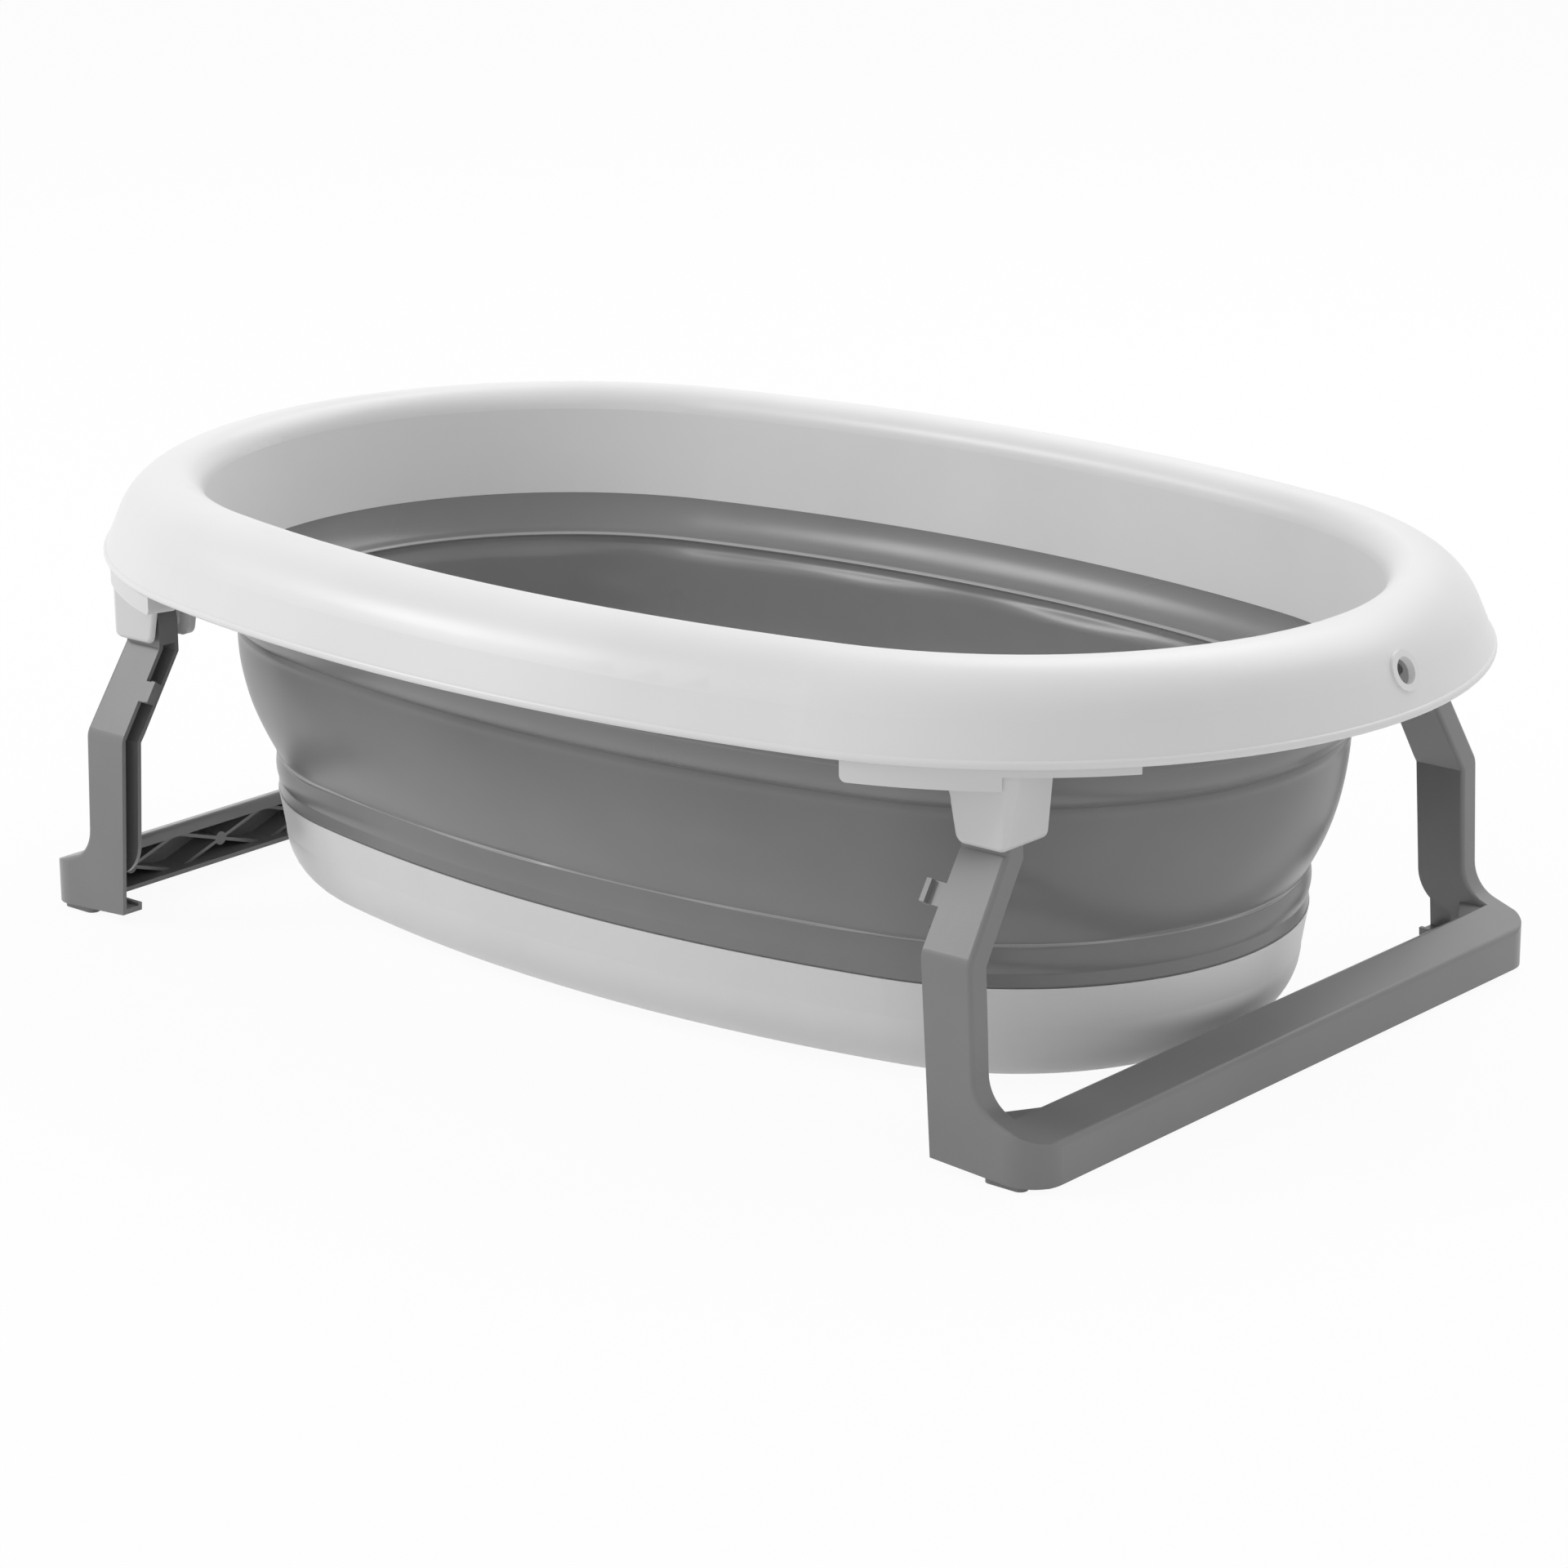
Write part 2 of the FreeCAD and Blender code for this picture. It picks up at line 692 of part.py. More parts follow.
def make_bar():
    """Foot bar between the arms: an open channel with crossed ribs."""
    start = arm_back - leg_wall
    low = bar_lift
    solid = [(foot_x, low), (foot_x, toe_height), (bar_inner, bar_inner_height), (bar_inner, low)]
    web = foot_x - leg_wall
    slope = math.tan(toe_slope)
    lip = bar_inner + leg_wall
    hollow = [
        (web, low + leg_wall),
        (web, toe_height + slope * leg_wall - leg_wall),
        (lip, bar_inner_height - slope * leg_wall - leg_wall),
        (lip, bar_inner_height - bar_lip),
        (bar_inner - leg_wall, bar_inner_height - bar_lip),
        (bar_inner - leg_wall, low + leg_wall),
    ]

    def along_y(points, front):
        corners = [V(x, front, z) for x, z in points]
        return Part.Face(Part.makePolygon(corners + corners[:1])).extrude(V(0, -2 * front, 0))

    block = along_y(solid, start)
    block = block.makeFillet(foot_edge_radius, edges_along_y(block, foot_x, toe_height))
    block = block.makeFillet(arm_edge_radius, edges_along_y(block, bar_inner, bar_inner_height))
    bar = block.cut(along_y(hollow, arm_back))
    cell = -2 * arm_back / rib_cells
    rib_start = bar_inner + rib_setback
    rib_depth = web - rib_start + leg_wall / 2
    middle_z = (low + toe_height) / 2
    run = math.hypot(cell, toe_height - low)
    tilt = math.degrees(math.atan2(toe_height - low, cell))
    ribs = []
    for index in range(rib_cells):
        y = arm_back + (index + 0.5) * cell
        for sign in (1, -1):
            rib = Part.makeBox(rib_depth, run, rib_wall, V(rib_start, y - run / 2, middle_z - rib_wall / 2))
            rib.rotate(V(rib_start, y, middle_z), V(1, 0, 0), sign * tilt)
            ribs.append(rib)
        ribs.append(Part.makeCylinder(rib_boss_radius, rib_depth, V(rib_start, y, middle_z), V(1, 0, 0)))
    crossed = ribs[0].fuse(ribs[1:]).common(block)
    return bar.fuse(crossed)


def pad_block(grow, bottom, top):
    """Pad outline with round ends under the front toe of the right leg."""
    radius = pad_width / 2 + grow
    x = foot_x - pad_setback
    y = foot_front + arm_thick / 2
    half = (pad_length - pad_width) / 2
    bar = Part.makeBox(2 * half, 2 * radius, top - bottom, V(x - half, y - radius, bottom))
    ends = [Part.makeCylinder(radius, top - bottom, V(x + s * half, y, bottom)) for s in (1, -1)]
    return bar.fuse(ends).removeSplitter()


def foot_outline(inset):
    """Upright block round the leg with round foot corners, drawn in by an inset."""
    start = arm_inner - 2 * arm_depth
    front = foot_front + inset
    block = Part.makeBox(foot_x - inset - start, -2 * front, hinge_height + arm_depth, V(start, front, 0))
    upright = []
    for edge in block.Edges:
        outside = abs(edge.CenterOfMass.x - foot_x + inset) < 0.01
        if outside and abs(edge.Vertexes[0].Z - edge.Vertexes[1].Z) > 1:
            upright.append(edge)
    return block.makeFillet(foot_corner - inset, upright)


def make_leg():
    mirror_y = (V(0, 0, 0), V(0, 1, 0))
    gusset_top = bar_inner_height - leg_wall
    corners = [
        V(bar_inner - gusset_depth, arm_back - leg_wall, bar_lift),
        V(bar_inner + leg_wall, arm_back - leg_wall, bar_lift),
        V(bar_inner + leg_wall, arm_back + gusset_length, bar_lift),
        V(bar_inner, arm_back + gusset_length, bar_lift),
    ]
    gusset = Part.Face(Part.makePolygon(corners + corners[:1])).extrude(V(0, 0, gusset_top - bar_lift))
    arm = make_arm().cut([make_channel().common(foot_outline(leg_wall)), make_flange_cut()])
    front = [arm, make_hook(), gusset]
    pieces = front + [piece.mirror(*mirror_y) for piece in front]
    leg = make_bar().fuse(pieces)
    leg = leg.common(foot_outline(0))
    tips = [make_hook(), make_hook().mirror(*mirror_y)]
    eye = Part.makeCylinder(pin_radius + pin_run_gap, -2 * foot_front,
                            V(hinge_x, foot_front, hinge_height), V(0, 1, 0))
    recess = pad_block(pad_gap, -1, pad_height + pad_gap)
    return leg.fuse(tips).cut([eye, recess, recess.mirror(*mirror_y)]).removeSplitter()


def save(name, shape):
    shape.exportStep("parts/" + name + ".step")
    print(name, len(shape.Solids), shape.isValid(), round(shape.Volume / 1000, 1))


def corners_of(shape):
    """The piece at the four corners, from the one at the front right."""
    over_x = shape.mirror(V(0, 0, 0), V(1, 0, 0))
    return {
        "front_right": shape,
        "front_left": over_x,
        "back_right": shape.mirror(V(0, 0, 0), V(0, 1, 0)),
        "back_left": over_x.mirror(V(0, 0, 0), V(0, 1, 0)),
    }


os.makedirs("parts", exist_ok=True)
save("rim_shell", make_rim())
save("soft_wall", make_soft_wall())
save("base_tray", make_base())
save("drain_plug", make_plug())
save("plug_washer", make_washer())
right_leg = make_leg()
save("leg_frame_right", right_leg)
save("leg_frame_left", right_leg.mirror(V(0, 0, 0), V(1, 0, 0)))
for corner, shape in corners_of(make_bracket()).items():
    save("hinge_bracket_" + corner, shape)
for corner, shape in corners_of(make_pin()).items():
    save("hinge_pin_" + corner, shape)
for corner, shape in corners_of(pad_block(0, 0, pad_height)).items():
    save("foot_pad_" + corner, shape)
screws = []
for place in screw_places():
    screws.extend(corners_of(make_screw(place)).values())
save("bracket_screws", Part.makeCompound(screws))
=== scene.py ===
import math

import bpy
import numpy as np
from mathutils import Matrix, Vector


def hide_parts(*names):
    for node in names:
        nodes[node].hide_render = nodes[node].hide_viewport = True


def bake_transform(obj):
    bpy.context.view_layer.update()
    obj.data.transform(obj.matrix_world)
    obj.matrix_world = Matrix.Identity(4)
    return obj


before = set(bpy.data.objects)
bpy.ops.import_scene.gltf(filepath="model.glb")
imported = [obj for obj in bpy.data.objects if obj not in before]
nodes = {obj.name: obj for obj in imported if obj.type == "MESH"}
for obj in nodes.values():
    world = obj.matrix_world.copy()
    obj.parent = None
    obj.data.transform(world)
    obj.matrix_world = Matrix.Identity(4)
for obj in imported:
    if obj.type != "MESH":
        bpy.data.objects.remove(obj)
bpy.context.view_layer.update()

scene = bpy.context.scene

# Rim outline and section, in metres, as the solids have them
half_length = 0.414
half_width = 0.268
side_radius = 0.970
crest_height = 0.2445
crest_inset = 0.043
crest_inner_radius = 0.0145
wall_inset = 0.062
wall_height = 0.181
rim_wall = 0.003

# Soft wall section, in metres; a fold line is an inset from the rim's outline and a height
soft_thickness = 0.0025
rim_lap = 0.026
base_lap = 0.008
base_wall = 0.003
bond_gap = 0.00015
slide_gap = 0.0003
ridge = (0.075, 0.159)
crease = (0.0955, 0.082)
joint = (0.095, 0.067)
strip_bulge = 0.0022
panel_bulge = 0.0055
band_bulge = 0.0015

# Mesh of the soft wall: stations round the outline, and points along each stretch of the section
around = 520
strip_count = 24
panel_count = 64
band_count = 24
foot_counts = (2, 4, 2, 4)
lap_counts = (8, 2, 8, 2)

# Beads and grooves at the fold lines, in metres: inward shift, height over the line and spread
ridge_bead = (0.0027, 0.0005, 0.0018)
ridge_groove = (-0.0007, -0.0050, 0.0020)
crease_bead = (0.0010, 0.0, 0.0014)
outer_ridge_bead = (0.0005, 0.0006, 0.0007)
outer_ridge_groove = (-0.0006, -0.0030, 0.0022)
outer_crease_bead = (-0.0011, 0.0, 0.0008)

# Soft roll below the ridge on the inside, in metres
roll_depth = 0.0036
roll_drop = 0.0135
roll_spread_above = 0.008
roll_spread_below = 0.026

# Waves round the tub: size, count and phase; the crease's wander is in metres, the others are shares
roll_waves = [(0.3, 9, 0.3), (0.25, 16, 1.9)]
bead_waves = [(0.22, 7, 1.0), (0.16, 19, 2.0)]
crease_wander = [(0.0006, 11, 0.5)]

# Shallow waves of the panel: size in metres, count round the tub, phase, and lean per metre of height
panel_waves = [
    (0.00035, 5, 0.4, 20),
    (0.0003, 9, 1.7, -34),
    (0.00022, 14, 4.1, 52),
    (0.00012, 23, 2.6, -70),
]
# Dents of the panel: share of the way round, height, length, tallness and depth in metres, and lean
panel_dents = [
    (0.27, 0.134, 0.035, 0.010, 0.0009, 1.2),
    (0.30, 0.104, 0.030, 0.009, 0.0008, -1.0),
    (0.40, 0.140, 0.050, 0.010, 0.0007, 0.5),
    (0.535, 0.126, 0.035, 0.010, 0.0010, -1.1),
    (0.60, 0.112, 0.040, 0.012, 0.0009, 0.9),
    (0.73, 0.128, 0.040, 0.011, 0.0009, 1.0),
    (0.955, 0.118, 0.030, 0.009, 0.0009, -1.2),
    (0.045, 0.112, 0.030, 0.010, 0.0010, 1.1),
]
# Power that keeps the panel's relief full near its fold lines
panel_ease = 0.8

# Painted highlight lines on the fold lines, in metres: height over the line and half height
ridge_highlight_line = (0.0004, 0.0008)
crease_highlight_line = (0.0, 0.0006)

# Finish of moulded plastic and rubber: noise scales per metre, bump distances in metres
cloud_scale = 7.0
gloss_scale = 9.0
gloss_spread = 0.055
swell_scale = 16.0
swell_distance = 0.004
streak_scale = 90.0
streak_stretch = (1.0, 1.0, 0.08)
streak_distance = 0.0006
grain_distance = 0.0003

# Finish of the steel pins and screws
steel_dark = (0.42, 0.42, 0.43)
steel_light = (0.62, 0.62, 0.63)
brush_scale = 300.0
brush_stretch = (1.0, 0.1, 1.0)
brush_strength = 0.15
brush_distance = 0.0002

# Studio
floor_half = 20.0
floor_gap = 0.0005
floor_white = 0.94
floor_paint = 0.9
world_light = 0.6
world_seen = 1.0

# Camera: place in metres, angles in radians, lens and sensor in millimetres
camera_place = (1.5991, -1.8701, 0.8367)
camera_yaw = 0.705030
camera_pitch = 0.296146
camera_roll = -0.005223
camera_lens = 107.58
camera_sensor = 36
camera_near = 0.05
camera_far = 100


def oval():
    """Centre, radius, direction and way travelled of every station round the rim's outline."""
    end_radius = half_length ** 2 + half_width ** 2 - 2 * side_radius * half_width
    end_radius = end_radius / (2 * (half_length - side_radius))
    end_centre = half_length - end_radius
    side_centre = side_radius - half_width
    join = math.atan2(side_centre, end_centre)
    arcs = [
        (end_centre, 0, end_radius, -join, 2 * join),
        (0, -side_centre, side_radius, join, math.pi - 2 * join),
        (-end_centre, 0, end_radius, math.pi - join, 2 * join),
        (0, side_centre, side_radius, math.pi + join, math.pi - 2 * join),
    ]
    total = sum(arc[2] * arc[4] for arc in arcs)
    centre, radius, direction, along = [], [], [], []
    travelled = 0
    for x, y, r, start, sweep in arcs:
        count = round(around * r * sweep / total)
        for k in range(count):
            angle = start + sweep * k / count
            centre.append((x, y))
            radius.append(r)
            direction.append((math.cos(angle), math.sin(angle)))
            along.append(travelled + r * sweep * k / count)
        travelled += r * sweep
    return np.array(centre), np.array(radius), np.array(direction), np.array(along)


def crowded(count):
    """Shares from nought up to, not including, one, closest together near both ends."""
    return (1 - np.cos(math.pi * np.arange(count) / count))[:, None] / 2


def line(a, b, count):
    """Points from a up to, not including, b."""
    return np.array(a) + crowded(count) * (np.array(b) - np.array(a))


def polyline(corners, counts):
    """Points of the straight stretches between corners, each with its own count."""
    return np.concatenate([line(a, b, count) for a, b, count in zip(corners, corners[1:], counts)])


def bowed(a, b, bulge, count):
    """Points of a shallow bow from a up to, not including, b."""
    a, b = np.array(a), np.array(b)
    chord = b - a
    normal = np.array([chord[1], -chord[0]]) / np.linalg.norm(chord)
    share = crowded(count)
    return a + share * chord + 4 * bulge * share * (1 - share) * normal


def wall_point(height, depth):
    """Point of the rim's inner wall at a height, sunk into the wall by depth."""
    crest_centre = crest_height - crest_inner_radius
    dx, dz = wall_inset - crest_inset, wall_height - crest_centre
    angle = math.atan2(dz, dx) + math.acos(crest_inner_radius / math.hypot(dx, dz))
    nx, nz = math.cos(angle), math.sin(angle)
    return (wall_inset - nz / nx * (height - wall_height) - depth / nx, height)


def soft_section():
    """Closed section of the soft wall as inset and height, and the side that each point is on."""
    out = np.array([-soft_thickness, 0])
    lap_low = wall_height - bond_gap
    top = wall_point(lap_low, 0)
    inner = np.concatenate([
        bowed(top, ridge, strip_bulge, strip_count),
        bowed(ridge, crease, panel_bulge, panel_count),
        bowed(crease, joint, band_bulge, band_count),
    ])
    foot_inset = joint[0] - base_wall / 2 - slide_gap
    foot_low = joint[1] - base_lap + slide_gap
    foot = polyline([
        joint,
        (foot_inset, joint[1]),
        (foot_inset, foot_low),
        (joint[0] - soft_thickness, foot_low),
        np.array(joint) + out,
    ], foot_counts)
    lap_top = wall_height + rim_lap - bond_gap
    lap_face = rim_wall / 2 + bond_gap
    outer_top = (top[0] - soft_thickness, top[1] - soft_thickness)
    lap = polyline([
        outer_top,
        wall_point(lap_top, rim_wall),
        wall_point(lap_top, lap_face),
        wall_point(lap_low, lap_face),
        top,
    ], lap_counts)
    outer = np.concatenate([[joint], inner[:0:-1]]) + out
    outer = outer[outer[:, 1] < outer_top[1] - bond_gap]
    side = [np.ones(len(inner)), np.zeros(len(foot)), -np.ones(len(outer)), np.zeros(len(lap))]
    return np.concatenate([inner, foot, outer, lap]), np.concatenate(side)


def bump(x, centre, spread):
    """Smooth bump of height one."""
    return np.exp(-((x - centre) / spread) ** 2)


def bead(over, shape):
    """Inward shift of a bead or groove at heights over its fold line."""
    shift, middle, spread = shape
    return shift * bump(over, middle, spread)


def waving(waves, turn):
    """Sum of waves round the tub."""
    return sum(size * np.sin(count * turn + phase) for size, count, phase in waves)


def fold_relief(height, side, turn):
    """Inward shift at the two fold lines: full beads and a roll inside, fine beads outside."""
    inside, outside = (side > 0)[:, None], (side < 0)[:, None]
    over_ridge = height - ridge[1]
    over_crease = height - crease[1] - waving(crease_wander, turn)
    roll_spread = np.where(over_ridge > -roll_drop, roll_spread_above, roll_spread_below)
    roll = roll_depth * (1 + waving(roll_waves, turn)) * bump(over_ridge, -roll_drop, roll_spread)
    within = bead(over_ridge, ridge_bead) + bead(over_ridge, ridge_groove)
    within = within + bead(over_crease, crease_bead) + roll
    without = bead(over_ridge, outer_ridge_bead) + bead(over_ridge, outer_ridge_groove)
    without = without + (1 + waving(bead_waves, turn)) * bead(over_crease, outer_crease_bead)
    return inside * within + outside * without


def panel_relief(height, turn, along, length):
    """Inward shift of the free panel between the fold lines: shallow waves and a few dents."""
    share = np.clip((ridge[1] - height) / (ridge[1] - crease[1]), 0, 1)
    free = np.sin(math.pi * share) ** panel_ease
    shift = np.zeros_like(height)
    for size, count, phase, lean in panel_waves:
        shift -= size * np.sin(count * turn + phase + lean * height)
    for place, level, spread, tall, depth, lean in panel_dents:
        gap = (along - place * length + length / 2) % length - length / 2
        shift += depth * bump(gap + lean * (height - level), 0, spread) * bump(height, level, tall)
    return free * shift


def ring_faces(rows, columns):
    """Quads of a grid of points that closes on itself both ways."""
    faces = []
    for i in range(rows):
        for j in range(columns):
            a, b = i * columns + j, i * columns + (j + 1) % columns
            c, d = (i + 1) % rows * columns + (j + 1) % columns, (i + 1) % rows * columns + j
            faces.append((a, b, c, d))
    return faces


def make_soft_wall():
    """Soft folding wall, with the faces on its fold lines in the second, paler material, which paints
    highlight lines on them.
    """
    centre, radius, direction, along = oval()
    section, side = soft_section()
    level = section[:, 1]
    rows, columns = len(section), len(radius)
    height = np.repeat(level[:, None], columns, axis=1)
    length = along[-1] + along[1]
    turn = 2 * math.pi * along / length
    inset = section[:, :1] + panel_relief(height, turn, along, length) + fold_relief(height, side, turn)
    x = centre[:, 0] + (radius - inset) * direction[:, 0]
    y = centre[:, 1] + (radius - inset) * direction[:, 1]
    points = np.stack([x, y, height], axis=2).reshape(-1, 3)
    mesh = bpy.data.meshes.new("soft_folding_wall")
    mesh.from_pydata(points.tolist(), [], ring_faces(rows, columns))
    # The inner ridge line and the outer crease line get the paler material: a painted highlight along each
    # fold.
    highlight_on_ridge = (side > 0) & (abs(level - ridge[1] - ridge_highlight_line[0]) < ridge_highlight_line[1])
    highlight_on_crease = (side < 0) & (abs(level - crease[1] - crease_highlight_line[0]) < crease_highlight_line[1])
    pale = np.repeat(highlight_on_ridge | highlight_on_crease, columns)
    mesh.polygons.foreach_set("material_index", pale.astype(np.int32))
    mesh.update()
    mesh.shade_smooth()
    made = bpy.data.objects.new("soft_folding_wall", mesh)
    scene.collection.objects.link(made)
    return made


def new_material(name):
    """Material, its tree, its shader and the object's own coordinates."""
    made = bpy.data.materials.new(name)
    made.use_nodes = True
    tree = made.node_tree
    shader = tree.nodes["Principled BSDF"]
    place = tree.nodes.new("ShaderNodeTexCoord")
    return made, tree, shader, place.outputs["Object"]


def noise(tree, place, scale, detail=2.0, rough=0.5, stretch=None):
    """Noise at a place, which may be stretched along the axes first."""
    node = tree.nodes.new("ShaderNodeTexNoise")
    node.inputs["Scale"].default_value = scale
    node.inputs["Detail"].default_value = detail
    node.inputs["Roughness"].default_value = rough
    if stretch:
        mapping = tree.nodes.new("ShaderNodeMapping")
        mapping.inputs["Scale"].default_value = stretch
        tree.links.new(place, mapping.inputs["Vector"])
        place = mapping.outputs["Vector"]
    tree.links.new(place, node.inputs["Vector"])
    return node.outputs["Fac"]


def ranged(tree, value, to_low, to_high, low=0.2, high=0.8):
    """Value from between low and high, moved to between to_low and to_high."""
    node = tree.nodes.new("ShaderNodeMapRange")
    node.inputs["From Min"].default_value = low
    node.inputs["From Max"].default_value = high
    node.inputs["To Min"].default_value = to_low
    node.inputs["To Max"].default_value = to_high
    tree.links.new(value, node.inputs["Value"])
    return node.outputs["Result"]


def tinted(tree, value, dark, light, low=0.3, high=0.7):
    """Colour that goes from dark to light as a value goes from low to high."""
    ramp = tree.nodes.new("ShaderNodeValToRGB")
    ramp.color_ramp.elements[0].position = low
    ramp.color_ramp.elements[0].color = (*dark, 1)
    ramp.color_ramp.elements[1].position = high
    ramp.color_ramp.elements[1].color = (*light, 1)
    tree.links.new(value, ramp.inputs["Fac"])
    return ramp.outputs["Color"]


def raised(tree, height, strength, distance, under=None):
    """Normal of a bumpy surface, on top of another bump where one is given."""
    node = tree.nodes.new("ShaderNodeBump")
    node.inputs["Strength"].default_value = strength
    node.inputs["Distance"].default_value = distance
    tree.links.new(height, node.inputs["Height"])
    if under is not None:
        tree.links.new(under, node.inputs["Normal"])
    return node.outputs["Normal"]


def moulded(name, dark, light, rough, grain_scale, grain_strength, streak=0.0, wave=0.0):
    """Moulded grey or white plastic or rubber: faint clouding, fine grain and uneven gloss."""
    made, tree, shader, place = new_material(name)
    cloud = noise(tree, place, cloud_scale, 3.0, 0.55)
    colour = tinted(tree, cloud, (dark, dark, dark), (light, light, light))
    tree.links.new(colour, shader.inputs["Base Color"])
    gloss = noise(tree, place, gloss_scale)
    roughness = ranged(tree, gloss, rough - gloss_spread, rough + gloss_spread)
    tree.links.new(roughness, shader.inputs["Roughness"])
    under = None
    if wave:
        swell = noise(tree, place, swell_scale, 2.0, 0.4)
        under = raised(tree, swell, wave, swell_distance)
    if streak:
        lines = noise(tree, place, streak_scale, stretch=streak_stretch)
        under = raised(tree, lines, streak, streak_distance, under)
    fine = noise(tree, place, grain_scale, 2.0, 0.6)
    normal = raised(tree, fine, grain_strength, grain_distance, under)
    tree.links.new(normal, shader.inputs["Normal"])
    return made


def brushed(name):
    """Bright steel with fine lines along the pins."""
    made, tree, shader, place = new_material(name)
    lines = noise(tree, place, brush_scale, 3.0, 0.6, brush_stretch)
    tree.links.new(tinted(tree, lines, steel_dark, steel_light), shader.inputs["Base Color"])
    tree.links.new(ranged(tree, lines, 0.22, 0.4), shader.inputs["Roughness"])
    tree.links.new(raised(tree, lines, brush_strength, brush_distance), shader.inputs["Normal"])
    shader.inputs["Metallic"].default_value = 1.0
    return made


white = moulded("white_plastic", 0.77, 0.82, rough=0.36, grain_scale=1500.0, grain_strength=0.05)
bracket_white = moulded("bracket_plastic", 0.67, 0.72, rough=0.42, grain_scale=1300.0, grain_strength=0.08)
grey = moulded("grey_plastic", 0.205, 0.24, rough=0.33, grain_scale=1100.0, grain_strength=0.10, streak=0.06)
soft = moulded("grey_soft_rubber", 0.2, 0.23, rough=0.3, grain_scale=1400.0, grain_strength=0.04, wave=0.04)
# Paler grey for the fold lines of the soft wall: a painted highlight.
soft_painted_highlight = moulded("grey_soft_painted_highlight", 0.36, 0.42, rough=0.3, grain_scale=1400.0, grain_strength=0.04)
dark_rubber = moulded("dark_rubber", 0.05, 0.075, rough=0.6, grain_scale=900.0, grain_strength=0.15)
steel = brushed("bright_steel")

# Finish of every node, by the start of its name
finish = {
    "rim_shell": white,
    "base_tray": white,
    "hinge_bracket": bracket_white,
    "leg_frame": grey,
    "drain_plug": grey,
    "plug_washer": dark_rubber,
    "foot_pad": grey,
    "hinge_pin": steel,
    "bracket_screws": steel,
    "soft_wall": soft,
}
for name, piece in nodes.items():
    material = next(m for start, m in finish.items() if name.startswith(start))
    piece.data.materials.clear()
    piece.data.materials.append(material)

soft_wall = make_soft_wall()
soft_wall.data.materials.append(soft)
soft_wall.data.materials.append(soft_painted_highlight)
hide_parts("soft_wall")
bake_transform(soft_wall)


def larger(tree, a, b):
    """The larger of two values."""
    node = tree.nodes.new("ShaderNodeMath")
    node.operation = "MAXIMUM"
    tree.links.new(a, node.inputs[0])
    tree.links.new(b, node.inputs[1])
    return node.outputs[0]


def seen_directly(tree):
    """One for camera, glossy and transmission rays, which see the white studio, and nought for the rest."""
    path = tree.nodes.new("ShaderNodeLightPath")
    either = larger(tree, path.outputs["Is Camera Ray"], path.outputs["Is Glossy Ray"])
    return larger(tree, either, path.outputs["Is Transmission Ray"])


def pale_floor():
    """White to the eye, with a little of the diffuse paint left to carry the object's shadow."""
    made = bpy.data.materials.new("pale_floor")
    made.use_nodes = True
    tree = made.node_tree
    tree.nodes.clear()
    out = tree.nodes.new("ShaderNodeOutputMaterial")
    mix = tree.nodes.new("ShaderNodeMixShader")
    paint = tree.nodes.new("ShaderNodeBsdfDiffuse")
    paint.inputs["Color"].default_value = (floor_paint, floor_paint, floor_paint, 1)
    glow = tree.nodes.new("ShaderNodeEmission")
    glow.inputs["Color"].default_value = (1, 1, 1, 1)
    share = tree.nodes.new("ShaderNodeMath")
    share.operation = "MULTIPLY"
    share.inputs[1].default_value = floor_white
    tree.links.new(seen_directly(tree), share.inputs[0])
    tree.links.new(share.outputs[0], mix.inputs[0])
    tree.links.new(paint.outputs[0], mix.inputs[1])
    tree.links.new(glow.outputs[0], mix.inputs[2])
    tree.links.new(mix.outputs[0], out.inputs["Surface"])
    return made


def make_floor():
    """Wide floor just under the foot pads."""
    corners = [(x * floor_half, y * floor_half, 0) for x, y in ((-1, -1), (1, -1), (1, 1), (-1, 1))]
    mesh = bpy.data.meshes.new("floor")
    mesh.from_pydata(corners, [], [(0, 1, 2, 3)])
    mesh.materials.append(pale_floor())
    made = bpy.data.objects.new("floor", mesh)
    made.location.z = -floor_gap
    scene.collection.objects.link(made)
    return made


def backdrop(tree, strength):
    """White background of a strength."""
    node = tree.nodes.new("ShaderNodeBackground")
    node.inputs["Color"].default_value = (1, 1, 1, 1)
    node.inputs["Strength"].default_value = strength
    return node.outputs[0]


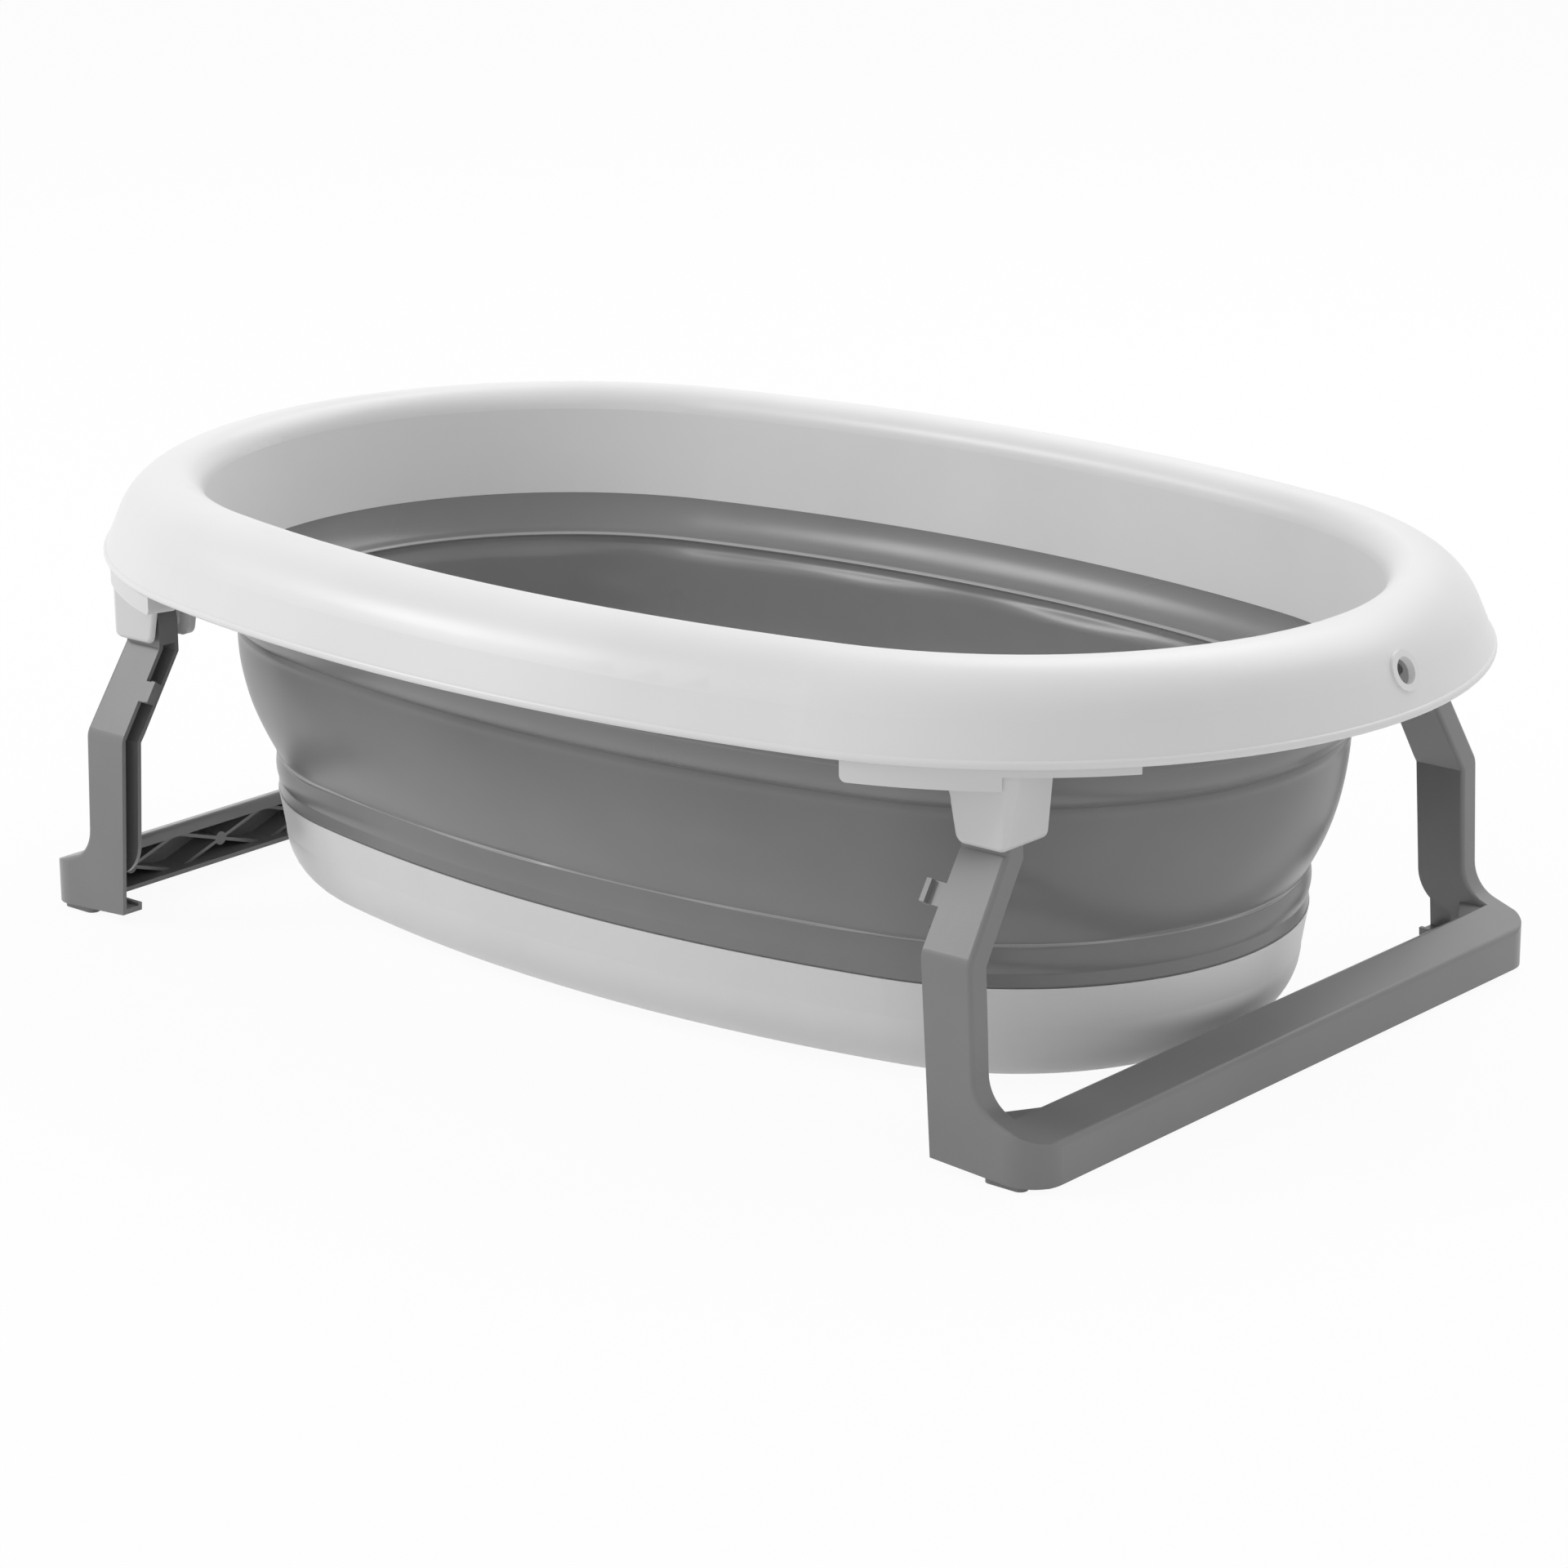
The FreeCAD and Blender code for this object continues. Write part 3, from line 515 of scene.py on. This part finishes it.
def make_world():
    """Studio that lights the object softly and looks white."""
    made = bpy.data.worlds.new("studio")
    made.use_nodes = True
    tree = made.node_tree
    tree.nodes.clear()
    out = tree.nodes.new("ShaderNodeOutputWorld")
    mix = tree.nodes.new("ShaderNodeMixShader")
    tree.links.new(seen_directly(tree), mix.inputs[0])
    tree.links.new(backdrop(tree, world_light), mix.inputs[1])
    tree.links.new(backdrop(tree, world_seen), mix.inputs[2])
    tree.links.new(mix.outputs[0], out.inputs["Surface"])
    return made


def softbox(name, place, target, width, depth, power):
    """Rectangular lamp at a place, turned to a target."""
    lamp = bpy.data.lights.new(name, "AREA")
    lamp.shape = "RECTANGLE"
    lamp.size = width
    lamp.size_y = depth
    lamp.energy = power
    made = bpy.data.objects.new(name, lamp)
    made.location = place
    aim = Vector(target) - Vector(place)
    made.rotation_euler = aim.to_track_quat("-Z", "Y").to_euler()
    scene.collection.objects.link(made)


def look(place, yaw, pitch, roll, lens):
    """Camera at a place, turned from +Y by yaw, down by pitch and round its axis by roll."""
    forward = Vector((-math.sin(yaw) * math.cos(pitch), math.cos(yaw) * math.cos(pitch), -math.sin(pitch)))
    level = forward.cross(Vector((0, 0, 1))).normalized()
    upright = level.cross(forward)
    right = level * math.cos(roll) + upright * math.sin(roll)
    up = upright * math.cos(roll) - level * math.sin(roll)
    data = bpy.data.cameras.new("camera")
    data.sensor_width = camera_sensor
    data.lens = lens
    data.clip_start = camera_near
    data.clip_end = camera_far
    made = bpy.data.objects.new("camera", data)
    turn = Matrix((right, up, -forward)).transposed()
    made.matrix_world = Matrix.Translation(place) @ turn.to_4x4()
    scene.collection.objects.link(made)
    return made


floor = make_floor()
scene.world = make_world()
softbox("top_light", place=(0.0, 1.7, 2.2), target=(0, 0, 0.15), width=2.6, depth=1.4, power=29)
softbox("key_light", place=(-1.9, -1.7, 1.95), target=(0, 0, 0.12), width=1.0, depth=0.8, power=28)
camera = look(camera_place, camera_yaw, camera_pitch, camera_roll, camera_lens)
scene.camera = camera
scene.view_settings.view_transform = "Standard"
